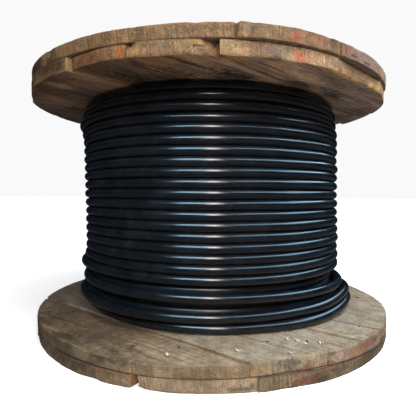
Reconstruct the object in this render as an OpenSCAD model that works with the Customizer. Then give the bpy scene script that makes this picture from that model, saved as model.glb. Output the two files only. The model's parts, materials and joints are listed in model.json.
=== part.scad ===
// Timber cable drum: two round flanges, each of two crossed plies of boards, stand either side
// of a barrel of staves. Four tie rods inside the barrel clamp them, and the cable is wound on
// the barrel. The drum stands on its lower flange: the origin is the centre of that flange's
// underside, +Z points up along the spindle axis, and all sizes are in millimetres.

/* [Flanges] */
// Diameter of both flanges
flange_d = 1000; // [820:10:1250]
// Thickness of one ply of flange boards
ply_t = 30; // [26:1:40]
// Clear distance between the two flanges
traverse = 567; // [400:1:800]
// Turn of the lower flange against the upper one, in degrees
lower_turn = 8; // [0:1:30]
// Distance that a thinner inner board stays back from the flange's inside face
board_step = 3; // [0.5:0.5:5]

/* [Barrel] */
// Diameter of the barrel over the corners of its staves
barrel_d = 500; // [430:10:610]
// Number of staves
stave_count = 18; // [14:1:20]
// Thickness of a stave
stave_t = 28; // [18:1:36]
// Gap between two neighbouring staves
stave_gap = 0.6; // [0.4:0.1:3]
// Depth of the ring groove that holds the stave ends
groove_depth = 8; // [5:1:12]
// Clearance of seated pieces: the staves in their grooves, the winding on the barrel
seat_clear = 0.3; // [0.2:0.1:1]

/* [Cable] */
// Outside diameter of the cable
cable_d = 24; // [16:1:30]
// Number of wound layers
cable_layers = 6; // [3:1:6]
// Gap between the top turn of the winding and the upper flange
top_gap = 6; // [2:1:20]
// Height over the lower flange that the even turns of the outer layer leave to the loose ones
loose_h = 112; // [90:1:160]
// Extra radius of the two loose turns over the outer layer
loose_slack = 18; // [10:1:30]
// Sideways shift of the loose turns, away from the barrel's axis
loose_shift = 24; // [0:1:30]
// Direction of that shift, in degrees from +X
loose_dir = -10; // [-180:5:180]

/* [Tie rods and spindle hole] */
// Diameter of the hole for the spindle bar
spindle_d = 82; // [50:1:100]
// Number of tie rods
rod_count = 4; // [3:1:6]
// Diameter of a tie rod
rod_d = 16; // [10:1:20]
// Diameter of the circle that the rods stand on
rod_circle_d = 330; // [280:5:340]
// Angle of the first rod from +X, in degrees
rod_angle = 66; // [0:1:90]
// Clearance around a rod in its hole, on the radius
rod_clear = 0.5; // [0.2:0.1:1.5]
// Distance across the flats of a rod nut
nut_af = 24; // [17:1:30]
// Height of a rod nut
nut_h = 13; // [8:1:16]
// Diameter of a washer
washer_d = 50; // [40:1:60]
// Thickness of a washer
washer_t = 4; // [2:0.5:5]
// Length of rod that stands out of a nut
rod_proud = 3; // [1:0.5:5]
// Depth that a rod's end lies below the outside face of its flange
rod_sunk = 2; // [1:0.5:4]
// Clearance around a washer in its recess, on the radius
recess_clear = 3; // [1:0.5:5]

/* [Hidden] */
flange_r = flange_d / 2;
flange_t = 2 * ply_t;
upper_z = flange_t + traverse;
drum_h = upper_z + flange_t;

// Long edges of each ply's boards, from the centre line across the ply, as shares of the
// flange's radius. Past 1 the outermost board ends at the rim, inside 1 it has a straight edge.
upper_inner_edges = [-0.97, -0.724, -0.44, -0.16, 0.19, 0.472, 0.74, 0.96];
upper_outer_edges = [-1.01, -0.63, -0.22, 0.21, 0.62, 1.01];
lower_inner_edges = [-1.01, -0.69, -0.406, -0.02, 0.43, 0.8, 1.01];
lower_outer_edges = [-1.01, -0.738, -0.344, 0.068, 0.452, 0.804, 1.01];
// Width of the open joint at each of those edges
upper_inner_gaps = [0, 4, 9, 2, 2, 3, 2, 0];
upper_outer_gaps = [0, 2, 3, 2, 3, 0];
lower_inner_gaps = [0, 6, 1.5, 2, 3, 2, 0];
lower_outer_gaps = [0, 3, 12, 3, 2, 3, 0];
// How far each board's ends stay inside the rim
upper_inner_trims = [0, 3, 13, 0, 4, 0, 2];
upper_outer_trims = [5, 0, 0, 0, 3];
lower_inner_trims = [0, 2, 0, 3, 0, 2];
lower_outer_trims = [0, 3, 0, 2, 0, 4];
// Inner boards that are sawn thinner by board_step, counted from 0
upper_inner_thin = 2;
lower_inner_thin = 0;

barrel_r = barrel_d / 2;
stave_half = 180 / stave_count;
stave_out = barrel_r * cos(stave_half);
stave_in = stave_out - stave_t;
stave_len = traverse + 2 * (groove_depth - seat_clear);

cable_r = cable_d / 2;
layer_step = cable_d * sin(60);
winding_in_r = barrel_r + seat_clear;
winding_z = flange_t + seat_clear;
outer_turn_r = winding_in_r + cable_r + (cable_layers - 1) * layer_step;
under_turn_r = outer_turn_r - layer_step;
// The top turn climbs into the groove over the first even turn, and presses into it a little
nest = 0.68 * cable_d;
top_turn_z = upper_z - top_gap - cable_r;
first_turn_z = top_turn_z - nest;
even_turns = floor((first_turn_z - cable_r - flange_t - loose_h) / cable_d) + 1;
last_turn_z = first_turn_z - (even_turns - 1) * cable_d;
// The layer below shows where the outer layer stops
under_turns = floor((last_turn_z - cable_d - winding_z) / cable_d) + 1;
stray_turn_z = last_turn_z - 1.75 * cable_d;
loose_turns = 2;
loose_turn_r = outer_turn_r + loose_slack;
loose_pitch = 0.98 * cable_d;
// How far the solid core reaches past the centre line of the turns on it
core_past = 2;

rod_r = rod_d / 2;
rod_circle_r = rod_circle_d / 2;
recess_r = washer_d / 2 + recess_clear;
recess_depth = washer_t + nut_h + rod_proud + rod_sunk;
thread_clear = 0.1;
// How far a cutting shape runs past the face it opens
cut = 1;

BOARDS = [
    ["upper_outer_board_", len(upper_outer_trims)],
    ["upper_inner_board_", len(upper_inner_trims)],
    ["lower_inner_board_", len(lower_inner_trims)],
    ["lower_outer_board_", len(lower_outer_trims)],
    ["barrel_stave_", stave_count],
    ["tie_rod_", rod_count],
];
SINGLES = ["rod_washers_upper", "rod_washers_lower", "rod_nuts_upper", "rod_nuts_lower",
    "cable_winding"];

$fn = 240;

module at_rods() {
    for (k = [0:rod_count - 1])
        rotate([0, 0, rod_angle + k * 360 / rod_count])
            translate([rod_circle_r, 0, 0])
                children();
}

// Holes for the spindle and the rods, through both plies of the flange that starts at z
module flange_holes(z) {
    translate([0, 0, z - cut])
        cylinder(h = flange_t + 2 * cut, d = spindle_d);
    translate([0, 0, z - cut])
        at_rods()
            cylinder(h = flange_t + 2 * cut, r = rod_r + rod_clear);
}

// Recesses for washers and nuts, sunk from z upwards
module recesses(z) {
    translate([0, 0, z])
        at_rods()
            cylinder(h = recess_depth + cut, r = recess_r);
}

// Ring groove for the stave ends, from z upwards
module stave_groove(z) {
    translate([0, 0, z])
        difference() {
            cylinder(h = groove_depth + cut, r = barrel_r + seat_clear);
            translate([0, 0, -cut])
                cylinder(h = groove_depth + 3 * cut, r = stave_in - seat_clear);
        }
}

// One board of a ply: the strip between two neighbouring edges, sawn off at the rim.
// The edges are measured along the direction across, and t is the board's thickness.
module board(edges, gaps, trims, i, across, z, t) {
    low = edges[i] * flange_r + gaps[i] / 2;
    high = edges[i + 1] * flange_r - gaps[i + 1] / 2;
    translate([0, 0, z])
        rotate([0, 0, across])
            linear_extrude(height = t)
                intersection() {
                    circle(r = flange_r - trims[i]);
                    translate([low, -flange_r])
                        square([high - low, flange_d]);
                }
}

module upper_outer_board(i) {
    color("tan")
        difference() {
            board(upper_outer_edges, upper_outer_gaps, upper_outer_trims, i, 0,
                upper_z + ply_t, ply_t);
            flange_holes(upper_z);
            recesses(drum_h - recess_depth);
        }
}

module upper_inner_board(i) {
    step = (i == upper_inner_thin) ? board_step : 0;
    color("peru")
        difference() {
            board(upper_inner_edges, upper_inner_gaps, upper_inner_trims, i, 90,
                upper_z + step, ply_t - step);
            flange_holes(upper_z);
            stave_groove(upper_z - cut);
        }
}

module lower_inner_board(i) {
    step = (i == lower_inner_thin) ? board_step : 0;
    color("burlywood")
        difference() {
            board(lower_inner_edges, lower_inner_gaps, lower_inner_trims, i, lower_turn,
                ply_t, ply_t - step);
            flange_holes(0);
            stave_groove(flange_t - groove_depth);
        }
}

module lower_outer_board(i) {
    color("sienna")
        difference() {
            board(lower_outer_edges, lower_outer_gaps, lower_outer_trims, i, lower_turn + 90,
                0, ply_t);
            flange_holes(0);
            recesses(-cut);
        }
}

module barrel_stave(i) {
    half_out = stave_out * tan(stave_half) - stave_gap / 2;
    half_in = stave_in * tan(stave_half) - stave_gap / 2;
    color("wheat")
        rotate([0, 0, i * 360 / stave_count])
            translate([0, 0, flange_t - groove_depth + seat_clear])
                linear_extrude(height = stave_len)
                    polygon([
                        [stave_in, -half_in],
                        [stave_out, -half_out],
                        [stave_out, half_out],
                        [stave_in, half_in],
                    ]);
}

module tie_rod(i) {
    color("silver")
        rotate([0, 0, rod_angle + i * 360 / rod_count])
            translate([rod_circle_r, 0, rod_sunk])
                cylinder(h = drum_h - 2 * rod_sunk, r = rod_r);
}

module rod_washers(z) {
    color("dimgray")
        translate([0, 0, z])
            at_rods()
                difference() {
                    cylinder(h = washer_t, d = washer_d);
                    translate([0, 0, -cut])
                        cylinder(h = washer_t + 2 * cut, r = rod_r + rod_clear);
                }
}

module rod_nuts(z) {
    color("gray")
        translate([0, 0, z])
            at_rods()
                difference() {
                    cylinder(h = nut_h, r = nut_af / 2 / cos(30), $fn = 6);
                    translate([0, 0, -cut])
                        cylinder(h = nut_h + 2 * cut, r = rod_r + thread_clear);
                }
}

// Half section of the even winding. The core holds the hidden layers and their hollows.
module winding_section() {
    translate([winding_in_r, first_turn_z - cable_r])
        square([under_turn_r - winding_in_r, top_turn_z + cable_r / 2 - first_turn_z + cable_r]);
    translate([outer_turn_r - nest, top_turn_z])
        circle(r = cable_r);
    translate([winding_in_r, last_turn_z])
        square([outer_turn_r + core_past - winding_in_r, first_turn_z - last_turn_z]);
    for (k = [0:even_turns - 1])
        translate([outer_turn_r, first_turn_z - k * cable_d])
            circle(r = cable_r);
    translate([winding_in_r, winding_z])
        square([under_turn_r + core_past - winding_in_r, last_turn_z - winding_z]);
    for (k = [0:under_turns - 1])
        translate([under_turn_r, last_turn_z - (k + 0.5) * cable_d])
            circle(r = cable_r);
    translate([outer_turn_r, stray_turn_z])
        circle(r = cable_r);
}

// Half section of the loose turns, which lie on the lower flange one above the other
module loose_section() {
    for (k = [0:loose_turns - 1])
        translate([loose_turn_r, winding_z + cable_r + k * loose_pitch])
            circle(r = cable_r);
    translate([loose_turn_r - cable_r / 2, winding_z + cable_r])
        square([cable_r, (loose_turns - 1) * loose_pitch]);
}

module cable_winding() {
    color([0.08, 0.08, 0.09])
        union() {
            rotate_extrude()
                winding_section();
            rotate([0, 0, loose_dir])
                translate([loose_shift, 0, 0])
                    rotate_extrude()
                        loose_section();
        }
}

for (k = [1:len(upper_outer_trims)])
    upper_outer_board(k - 1);
for (k = [1:len(upper_inner_trims)])
    upper_inner_board(k - 1);
for (k = [1:len(lower_inner_trims)])
    lower_inner_board(k - 1);
for (k = [1:len(lower_outer_trims)])
    lower_outer_board(k - 1);
for (k = [1:stave_count])
    barrel_stave(k - 1);
for (k = [1:rod_count])
    tie_rod(k - 1);
rod_washers(drum_h - recess_depth);  // rod_washers_upper
rod_washers(recess_depth - washer_t);  // rod_washers_lower
rod_nuts(drum_h - recess_depth + washer_t);  // rod_nuts_upper
rod_nuts(recess_depth - washer_t - nut_h);  // rod_nuts_lower
cable_winding();
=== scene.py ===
import json
import math
import random

import bmesh
import bpy
from mathutils import Matrix, Vector, noise

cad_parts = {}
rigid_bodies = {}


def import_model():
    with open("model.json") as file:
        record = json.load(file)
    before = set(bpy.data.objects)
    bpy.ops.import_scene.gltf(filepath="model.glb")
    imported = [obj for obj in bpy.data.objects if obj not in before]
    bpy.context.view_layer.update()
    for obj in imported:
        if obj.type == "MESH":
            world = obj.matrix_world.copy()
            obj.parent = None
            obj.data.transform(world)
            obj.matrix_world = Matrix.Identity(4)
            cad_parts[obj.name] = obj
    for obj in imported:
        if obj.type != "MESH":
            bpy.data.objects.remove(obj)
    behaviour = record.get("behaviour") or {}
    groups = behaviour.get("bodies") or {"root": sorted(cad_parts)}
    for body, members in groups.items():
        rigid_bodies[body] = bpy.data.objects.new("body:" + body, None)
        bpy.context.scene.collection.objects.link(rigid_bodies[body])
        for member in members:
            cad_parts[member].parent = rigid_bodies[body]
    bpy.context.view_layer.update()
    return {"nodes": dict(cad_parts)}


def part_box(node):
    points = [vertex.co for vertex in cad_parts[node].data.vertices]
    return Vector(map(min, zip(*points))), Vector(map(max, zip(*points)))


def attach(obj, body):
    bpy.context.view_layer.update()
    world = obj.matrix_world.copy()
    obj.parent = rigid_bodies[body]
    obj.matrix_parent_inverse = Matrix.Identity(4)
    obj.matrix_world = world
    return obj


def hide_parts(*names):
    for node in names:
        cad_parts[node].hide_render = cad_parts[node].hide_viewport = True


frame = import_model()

# A weathered timber cable drum wound with glossy black cable. All sizes are in metres. Each
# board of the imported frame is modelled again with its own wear, the winding is one long swept
# cable over a plain core, and the staves, rods, nuts and washers keep their frame meshes.

MM = 0.001

# Radius of the flanges, and the heights of their faces and of the joints between their plies
RIM = 0.5
LOWER_JOINT = 0.030
FLANGE_TOP = 0.060
FLANGE_UNDERSIDE = 0.627
UPPER_JOINT = 0.657
DRUM_TOP = 0.687

# The plies of the two flanges: number of boards, and the direction across the boards.
LOWER_TURN = 8
PLIES = {
    "upper_outer": (5, 0),
    "upper_inner": (7, 90),
    "lower_inner": (6, LOWER_TURN),
    "lower_outer": (6, LOWER_TURN + 90),
}
RODS = 4
NODES = frame["nodes"]


# ---------------------------------------------------------------------------------------------
# Small helpers
# ---------------------------------------------------------------------------------------------

def smooth(low, high, value):
    """0 below low, 1 above high, with a smooth rise between them."""
    share = min(max((value - low) / (high - low), 0.0), 1.0)
    return share * share * (3 - 2 * share)


def polar(angle, radius, height):
    """The point at an angle in degrees round the drum's axis."""
    turn = math.radians(angle)
    return Vector((radius * math.cos(turn), radius * math.sin(turn), height))


def arc_gap(angle, other):
    """The angle between two directions, in degrees, from -180 to 180."""
    return (angle - other + 180) % 360 - 180


def face_outwards(bm):
    """Turns every face outwards."""
    bmesh.ops.recalc_face_normals(bm, faces=bm.faces[:])
    if bm.calc_volume(signed=True) < 0:
        bmesh.ops.reverse_faces(bm, faces=bm.faces[:])


def add_object(name, data):
    """Adds an object with its data to the scene."""
    made = bpy.data.objects.new(name, data)
    bpy.context.scene.collection.objects.link(made)
    return made


def mesh_of(name, bm):
    """Turns a finished bmesh into a mesh."""
    mesh = bpy.data.meshes.new(name)
    bm.to_mesh(mesh)
    bm.free()
    return mesh


def mesh_from(holder):
    """The mesh that a helper object's modifiers or curve give. The helper itself is removed."""
    graph = bpy.context.evaluated_depsgraph_get()
    made = bpy.data.meshes.new_from_object(holder.evaluated_get(graph))
    bpy.data.objects.remove(holder)
    return made


def fill_attribute(mesh, name, kind, field, values):
    """Stores a value at each point of a mesh, for its material to read."""
    made = mesh.attributes.new(name, kind, "POINT")
    made.data.foreach_set(field, values)


def piece(name, bm, material):
    """Makes a finished bmesh a piece that rides on the drum."""
    return piece_of_mesh(name, mesh_of(name, bm), material)


def piece_of_mesh(name, mesh, material):
    """Makes a finished mesh a piece that rides on the drum."""
    made = add_object(name, mesh)
    mesh.materials.clear()
    mesh.materials.append(material)
    mesh.shade_smooth()
    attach(made, "root")
    return made


# ---------------------------------------------------------------------------------------------
# Shader helpers
# ---------------------------------------------------------------------------------------------

def feed(tree, target, value):
    """Gives a socket a number or a colour, or links another node's output to it."""
    if isinstance(value, bpy.types.NodeSocket):
        tree.links.new(value, target)
    else:
        target.default_value = value


def put(tree, kind, values=None, **settings):
    """Adds a node. A value is a number, a colour or another node's output."""
    made = tree.nodes.new(kind)
    for key, value in settings.items():
        setattr(made, key, value)
    for key, value in (values or {}).items():
        feed(tree, made.inputs[key], value)
    return made


def calc(tree, operation, *values):
    """Arithmetic on one, two or three numbers."""
    return put(tree, "ShaderNodeMath", dict(enumerate(values)), operation=operation).outputs[0]


def vector(tree, operation, *values):
    """Arithmetic on vectors. A length comes out as a number."""
    made = put(tree, "ShaderNodeVectorMath", dict(enumerate(values)), operation=operation)
    return made.outputs["Value" if operation == "LENGTH" else "Vector"]


def parts(tree, place):
    """The X, Y and Z of a vector."""
    return put(tree, "ShaderNodeSeparateXYZ", {"Vector": place}).outputs


def step(tree, value, low, high, start=0.0, end=1.0):
    """A smooth change from start to end while value goes from low to high."""
    made = put(tree, "ShaderNodeMapRange", {
        "Value": value, "From Min": low, "From Max": high, "To Min": start, "To Max": end,
    }, interpolation_type="SMOOTHSTEP")
    return made.outputs["Result"]


def tint(tree, factor, first, second, mode="MIX"):
    """Mixes two colours."""
    made = put(tree, "ShaderNodeMix", data_type="RGBA", blend_type=mode)
    for key, value in (("Factor_Float", factor), ("A_Color", first), ("B_Color", second)):
        feed(tree, next(s for s in made.inputs if s.identifier == key), value)
    return next(s for s in made.outputs if s.identifier == "Result_Color")


def dim(tree, colour, value):
    """Multiplies a colour by a number."""
    grey = put(tree, "ShaderNodeCombineColor", {"Red": value, "Green": value, "Blue": value})
    return tint(tree, 1.0, colour, grey.outputs["Color"], "MULTIPLY")


def cloud(tree, place, scale, detail=4.0, rough=0.55, warp=0.0):
    """Soft noise from 0 to 1."""
    made = put(tree, "ShaderNodeTexNoise", {
        "Vector": place, "Scale": scale, "Detail": detail, "Roughness": rough, "Distortion": warp,
    })
    return made.outputs["Fac"]


def stretch(tree, place, scale, shift=(0, 0, 0)):
    """Scales and shifts a place, so that a pattern laid on it is drawn out."""
    made = put(tree, "ShaderNodeMapping", {"Vector": place, "Scale": scale, "Location": shift})
    return made.outputs["Vector"]


def attribute(tree, name, output="Fac"):
    """A value that the mesh stores at its points."""
    return put(tree, "ShaderNodeAttribute", attribute_name=name).outputs[output]


def new_group(name, inputs, outputs):
    """A shader group with named inputs, {name: (kind, default)}, and outputs, {name: kind}."""
    tree = bpy.data.node_groups.new(name, "ShaderNodeTree")
    for key, (kind, default) in inputs.items():
        socket = tree.interface.new_socket(key, in_out="INPUT", socket_type="NodeSocket" + kind)
        if default is not None:
            socket.default_value = default
    for key, kind in outputs.items():
        tree.interface.new_socket(key, in_out="OUTPUT", socket_type="NodeSocket" + kind)
    source = tree.nodes.new("NodeGroupInput").outputs
    result = tree.nodes.new("NodeGroupOutput").inputs
    return tree, source, result


def use(tree, group, **values):
    """Places a group in a material and returns its outputs. Names use _ for a space."""
    made = tree.nodes.new("ShaderNodeGroup")
    made.node_tree = group
    for key, value in values.items():
        feed(tree, made.inputs[key.replace("_", " ")], value)
    return made.outputs


# ---------------------------------------------------------------------------------------------
# Shader groups that the materials share
# ---------------------------------------------------------------------------------------------

def timber_grain_group():
    """Growth rings and fibres of a sawn board. Grain runs along the first axis of the place."""
    tree, source, result = new_group("timber grain", {
        "Place": ("Vector", None),
        "Ring Width": ("Float", 0.005),
        "Waviness": ("Float", 0.012),
    }, {"Rings": "Float", "Fibres": "Float", "Figure": "Float"})
    place = source["Place"]
    sway = cloud(tree, stretch(tree, place, (1.6, 7, 7)), 1.0, 3.0)
    sway = calc(tree, "MULTIPLY", calc(tree, "SUBTRACT", sway, 0.5), source["Waviness"])
    fine = cloud(tree, stretch(tree, place, (5, 60, 60)), 1.0, 2.0)
    fine = calc(tree, "MULTIPLY", calc(tree, "SUBTRACT", fine, 0.5), 0.004)
    split = parts(tree, place)
    across = calc(tree, "ADD", split["Y"], sway)
    depth = calc(tree, "ADD", split["Z"], sway)
    heart = put(tree, "ShaderNodeCombineXYZ", {"Y": across, "Z": depth}).outputs["Vector"]
    radius = calc(tree, "ADD", vector(tree, "LENGTH", heart), fine)
    turn = calc(tree, "FRACT", calc(tree, "DIVIDE", radius, source["Ring Width"]))
    # Each ring darkens slowly through the summer and ends sharply
    late = calc(tree, "MULTIPLY", step(tree, turn, 0.25, 0.86), step(tree, turn, 0.9, 1.0, 1.0, 0.0))
    tree.links.new(late, result["Rings"])
    fibres = cloud(tree, stretch(tree, place, (9, 420, 420)), 1.0, 3.0, 0.6)
    tree.links.new(fibres, result["Fibres"])
    figure = cloud(tree, stretch(tree, place, (2.2, 14, 14)), 1.0, 4.0, 0.6, 0.4)
    tree.links.new(figure, result["Figure"])
    return tree


def saw_marks_group():
    """Upright scratches that the saw left round the rim of a flange."""
    tree, source, result = new_group("saw marks", {
        "Place": ("Vector", None),
        "Spacing": ("Float", 0.0035),
    }, {"Marks": "Float", "Strokes": "Float"})
    split = parts(tree, source["Place"])
    angle = calc(tree, "ARCTAN2", split["Y"], split["X"])
    round_way = calc(tree, "MULTIPLY", angle, 0.5)
    lean = calc(tree, "MULTIPLY", split["Z"], 0.12)
    around = calc(tree, "DIVIDE", calc(tree, "ADD", round_way, lean), source["Spacing"])
    flat = put(tree, "ShaderNodeCombineXYZ", {
        "X": around, "Y": calc(tree, "MULTIPLY", split["Z"], 14.0),
    }).outputs["Vector"]
    tree.links.new(cloud(tree, flat, 1.0, 3.0, 0.65), result["Marks"])
    wide = put(tree, "ShaderNodeCombineXYZ", {
        "X": calc(tree, "MULTIPLY", around, 0.17), "Y": calc(tree, "MULTIPLY", split["Z"], 9.0),
    }).outputs["Vector"]
    tree.links.new(cloud(tree, wide, 1.0, 2.0, 0.5, 0.5), result["Strokes"])
    return tree


def weather_group():
    """Where dirt, sun-greyed wood and damp have gathered."""
    tree, source, result = new_group("weather", {
        "Place": ("Vector", None),
        "Spread": ("Float", 6.0),
    }, {"Dirt": "Float", "Grey": "Float", "Specks": "Float"})
    place = source["Place"]
    broad = cloud(tree, place, source["Spread"], 6.0, 0.62, 0.3)
    tree.links.new(step(tree, broad, 0.42, 0.68), result["Dirt"])
    moved = stretch(tree, place, (1, 1, 1), (3.1, 7.7, 1.9))
    tree.links.new(step(tree, cloud(tree, moved, source["Spread"], 5.0, 0.6), 0.4, 0.66), result["Grey"])
    specks = cloud(tree, place, 210.0, 2.0, 0.5)
    tree.links.new(step(tree, specks, 0.63, 0.74), result["Specks"])
    return tree


def patch_group():
    """A ragged patch round a centre: reach is its half size along each axis."""
    tree, source, result = new_group("patch", {
        "Place": ("Vector", None),
        "Rag": ("Float", 0.0),
        "Centre": ("Vector", (0, 0, 0)),
        "Reach": ("Vector", (0.02, 0.02, 0.02)),
        "Ragged": ("Float", 0.5),
        "Soft": ("Float", 0.25),
    }, {"Mask": "Float"})
    offset = vector(tree, "SUBTRACT", source["Place"], source["Centre"])
    away = vector(tree, "LENGTH", vector(tree, "DIVIDE", offset, source["Reach"]))
    away = calc(tree, "ADD", away, calc(tree, "MULTIPLY", source["Rag"], source["Ragged"]))
    low = calc(tree, "SUBTRACT", 1.0, source["Soft"])
    tree.links.new(step(tree, away, low, 1.0, 1.0, 0.0), result["Mask"])
    return tree


GRAIN = timber_grain_group()
SAW_MARKS = saw_marks_group()
WEATHER = weather_group()
PATCH = patch_group()


# ---------------------------------------------------------------------------------------------
# Materials
# ---------------------------------------------------------------------------------------------

def new_material(name):
    """A material, its nodes, its shader and the place on the drum."""
    made = bpy.data.materials.new(name)
    made.use_nodes = True
    tree = made.node_tree
    shader = tree.nodes["Principled BSDF"]
    place = tree.nodes.new("ShaderNodeTexCoord").outputs["Object"]
    return made, tree, shader, place


def bump(tree, height, strength, distance, normal=None):
    """Raises a surface by a height, on top of another normal if there is one."""
    values = {"Height": height, "Strength": strength, "Distance": distance}
    if normal is not None:
        values["Normal"] = normal
    return put(tree, "ShaderNodeBump", values).outputs["Normal"]


# The rims are not quite round: angle round the drum and how far the rim stands out, in mm
OUT_OF_ROUND = {
    "upper_outer": [(-180, 13), (-171, 11), (-160, 11), (-150, 8), (-140, 10), (-129, 12),
                    (-118, 7), (-108, 0), (-100, -5), (-80, -5), (-65, 0), (-40, 0), (60, -3),
                    (100, 0), (140, 9), (155, 14)],
    "upper_inner": [(-180, 11), (-171, 8), (-169, 13), (-157, 20), (-150, 14), (-143, 12),
                    (-134, 7), (-125, 3), (-115, -2), (-100, -9), (-85, -9), (-72, -7), (-60, 0),
                    (80, 2), (130, 6), (152, 14), (167, 15)],
    "lower_inner": [(-180, 3), (-165, 4), (-147, 8), (-138, 5), (-130, 4), (-123, 2), (-117, -1),
                    (-110, 4), (-95, 11), (-85, 15), (-75, 17), (-60, 19), (-50, 17), (-38, 10),
                    (-20, 0), (90, -2)],
    "lower_outer": [(-180, 3), (-150, 4), (-130, 2), (-117, 1), (-105, 7), (-92, 9),
                    (-76, 13), (-62, 16), (-48, 12), (-20, 0), (120, -3)],
}


def stand_out(ply, angle):
    """How far a ply's rim stands out of round at an angle."""
    table = OUT_OF_ROUND[ply]
    for k, (start, first) in enumerate(table):
        end, second = table[k + 1] if k + 1 < len(table) else (table[0][0] + 360, table[0][1])
        if start <= angle <= end:
            return MM * (first + (second - first) * smooth(start, end, angle))
    return 0.0


def ply_at(height):
    """The ply whose rim lies at a height, or just above it on the lower flange."""
    for ply, top in (("lower_outer", LOWER_JOINT), ("lower_inner", FLANGE_TOP + 2 * MM),
                     ("upper_inner", UPPER_JOINT)):
        if height < top:
            return ply
    return "upper_outer"


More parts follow.
